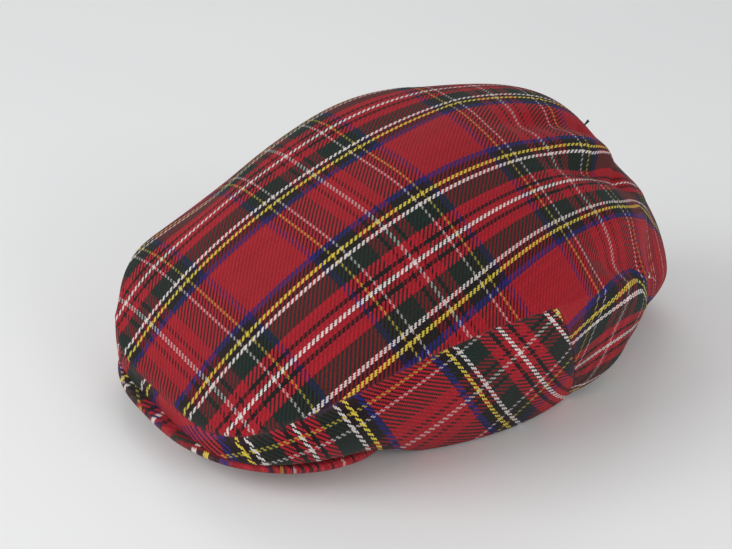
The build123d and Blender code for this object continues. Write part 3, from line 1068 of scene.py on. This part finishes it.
def make_tacks():
    """Three strands of white thread across each dart, level with the rim."""
    for name, side in (("dart_tack_left", 1), ("dart_tack_right", -1)):
        place, normal = on_crown((side * 72.8, 101.8, 50.0))
        up = np.array([0.0, 0.0, 1.0])
        across = np.cross(normal, up)
        across /= np.linalg.norm(across)
        for strand, rise in enumerate((-0.45, 0.0, 0.4)):
            shape = [(-2.2, -0.9), (-1.8, 0.2), (0.0, 0.45), (1.8, 0.2), (2.2, -0.9)]
            path = [place + up * rise + across * along + normal * lift for along, lift in shape]
            piece = thread_piece(f"{name}_{strand}", path, 0.22, white_thread)
            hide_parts("dart_tacks")


def make_loose_threads():
    """Short ends of thread left at the point of the dart, and a frayed fibre at the tack."""
    place, normal = on_crown((17, 103, 113))
    ends = [((0.3, 0.2, 0.9), 0.42), ((0.7, 0.1, 0.6), 0.38), ((-0.1, 0.4, 0.8), 0.36)]
    for number, (lean, radius) in enumerate(ends):
        lean = np.array(lean)
        path = [
            place - normal * 0.8,
            place + normal * 0.9 + lean * 0.4,
            place + normal * 1.8 + lean * 1.6,
        ]
        thread_piece(f"thread_end_{number}", path, radius, black_thread)
    place, normal = on_crown((73, 101, 49))
    path = [
        place - normal * 0.4,
        place + normal + [0.6, 0.8, -0.2],
        place + normal * 1.4 + [1.6, 1.4, -1.4],
    ]
    thread_piece("fibre", path, 0.09, white_thread)


make_tacks()
make_loose_threads()


# ---- Stage, light and camera ----

def make_floor():
    """White paper under the cap, just below the hem."""
    mesh = bpy.data.meshes.new("floor")
    size, depth = 6.0, -0.0006
    corners = [(-size, -size, depth), (size, -size, depth), (size, size, depth), (-size, size, depth)]
    mesh.from_pydata(corners, [], [(0, 1, 2, 3)])
    shader = Shader("floor_paper")
    shade = shader.noise(shader.position(), 3.0)
    colour = shader.mix(shade, linear(238, 239, 240), linear(243, 244, 244))
    material = shader.finish(colour, shader.spread(shade, 0.85, 0.95), specular=0.1)
    shader.clear_from_behind()
    mesh.materials.append(material)
    floor = bpy.data.objects.new("floor", mesh)
    bpy.context.scene.collection.objects.link(floor)


LIGHT_TARGET = Vector((0, 0, 0.05))
LIGHT_SIZE = 1.0


def make_light(name, place, power):
    """A square soft light that shines at the cap."""
    data = bpy.data.lights.new(name, "AREA")
    data.size = LIGHT_SIZE
    data.energy = power
    light = bpy.data.objects.new(name, data)
    light.location = place
    light.rotation_euler = (LIGHT_TARGET - Vector(place)).to_track_quat("-Z", "Y").to_euler()
    bpy.context.scene.collection.objects.link(light)


def make_world(strength):
    world = bpy.data.worlds.new("studio")
    world.use_nodes = True
    background = world.node_tree.nodes["Background"]
    background.inputs["Color"].default_value = linear(230, 230, 230)
    background.inputs["Strength"].default_value = strength
    bpy.context.scene.world = world


CAMERA_AZIMUTH = radians(56.95)
CAMERA_ELEVATION = radians(25.76)
CAMERA_ROLL = radians(-0.19)
CAMERA_DISTANCE = 0.75
CAMERA_LENS = 76.1
CAMERA_SHIFT = (-0.0397, 0.0110)
CAMERA_TARGET = Vector((0, -LENGTH_CENTRE_Y * MM, 0.045))


def make_camera():
    data = bpy.data.cameras.new("camera")
    data.sensor_width = 36.0
    data.lens = CAMERA_LENS
    data.shift_x, data.shift_y = CAMERA_SHIFT
    data.clip_start = 0.01
    camera = bpy.data.objects.new("camera", data)
    level = Vector((sin(CAMERA_AZIMUTH), -cos(CAMERA_AZIMUTH), 0))
    back = level * cos(CAMERA_ELEVATION) + Vector((0, 0, sin(CAMERA_ELEVATION)))
    right = Vector((cos(CAMERA_AZIMUTH), sin(CAMERA_AZIMUTH), 0))
    up = back.cross(right)
    turned = Matrix((right, up, back)).transposed().to_4x4()
    camera.matrix_world = (Matrix.Translation(CAMERA_TARGET + back * CAMERA_DISTANCE) @ turned
                           @ Matrix.Rotation(CAMERA_ROLL, 4, "Z"))
    bpy.context.scene.collection.objects.link(camera)
    bpy.context.scene.camera = camera


make_floor()
make_light("key", (-0.3, -1.2, 0.7), 11.0)
make_light("fill", (1.3, 0.25, 0.35), 9.0)
make_light("rim", (-1.0, 0.6, 1.2), 4.0)
make_world(0.57)
make_camera()
bpy.context.scene.view_settings.view_transform = "Standard"
